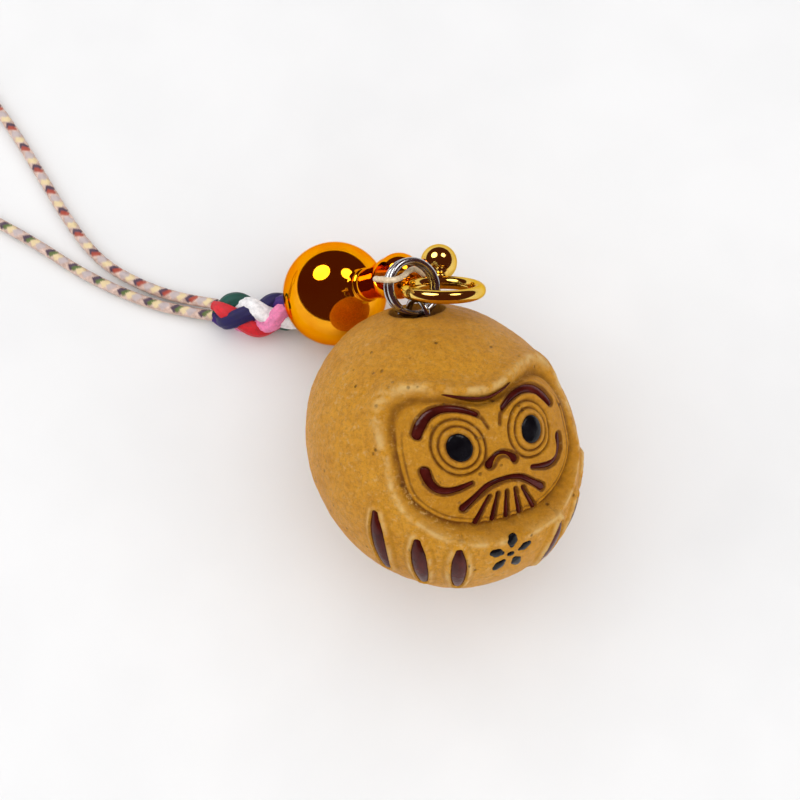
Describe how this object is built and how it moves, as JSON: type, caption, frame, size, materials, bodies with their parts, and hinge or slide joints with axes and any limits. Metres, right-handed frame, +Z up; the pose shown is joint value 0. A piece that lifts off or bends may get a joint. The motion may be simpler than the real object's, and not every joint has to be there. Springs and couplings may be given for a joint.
{
  "type": "daruma charm strap",
  "caption": "Round carved daruma doll charm on a screw eye and split ring, with a gilt ring, a plated gourd bead and a looped braided cord strap.",
  "frame": {"origin": "table surface under the middle of the doll, rings and gourd bead as they lie, the strap left out", "axes": "+Z up from the table; +Y the longer way over the doll and bead, away from the face; the strap runs to -X and +Y"},
  "size_m": [0.0801, 0.0639, 0.0227],
  "materials": {
    "terracotta body": "carved and ochre stained, matt with a low sheen",
    "red enamel": "thick glossy dark red enamel",
    "black enamel": "thick glossy black enamel",
    "steel wire": "bright nickel plating",
    "gilt metal": "bright gilt plating",
    "orange plating": "mirror-bright orange gold plating",
    "cord": "fine braided cream thread with coloured flecks",
    "braid": "braid of many-coloured silky strands"
  },
  "bodies": {
    "doll": {"doll_body": "terracotta body", "pupil_left": "black enamel", "pupil_right": "black enamel", "brow_left": "red enamel", "brow_right": "red enamel", "nose_line": "red enamel", "moustache_left": "red enamel", "moustache_right": "red enamel", "mouth_line": "red enamel", "beard_lines": "red enamel", "robe_stripes_left": "red enamel", "robe_stripes_right": "red enamel", "belly_blossom": "black enamel", "screw_eye": "steel wire"},
    "ring": {"split_ring": "steel wire"},
    "charm": {"charm_ring": "gilt metal", "charm_ball": "gilt metal", "charm_collar": "gilt metal"},
    "gourd": {"gourd_shell": "orange plating", "retaining_knot": "cord", "link_cord": "cord", "stopper_braid": "braid", "strap_cord": "cord"}
  },
  "joints": [
    {"name": "ring_swing", "type": "hinge", "parent": "doll", "child": "ring", "pos_m": [-0.00077, 0.00571, 0.01664], "axis": [0.8157, 0.4599, -0.3509], "range_deg": [-5, 12]},
    {"name": "charm_turn", "type": "hinge", "parent": "ring", "child": "charm", "pos_m": [-0.00175, 0.0074, 0.01823], "axis": [0, 0.8123, 0.5832], "range_deg": [-10, 0]},
    {"name": "gourd_swing", "type": "hinge", "parent": "ring", "child": "gourd", "pos_m": [-0.00339, 0.00779, 0.01932], "axis": [-0.1239, -0.9685, -0.2159], "range_deg": [-25, 0]}
  ]
}
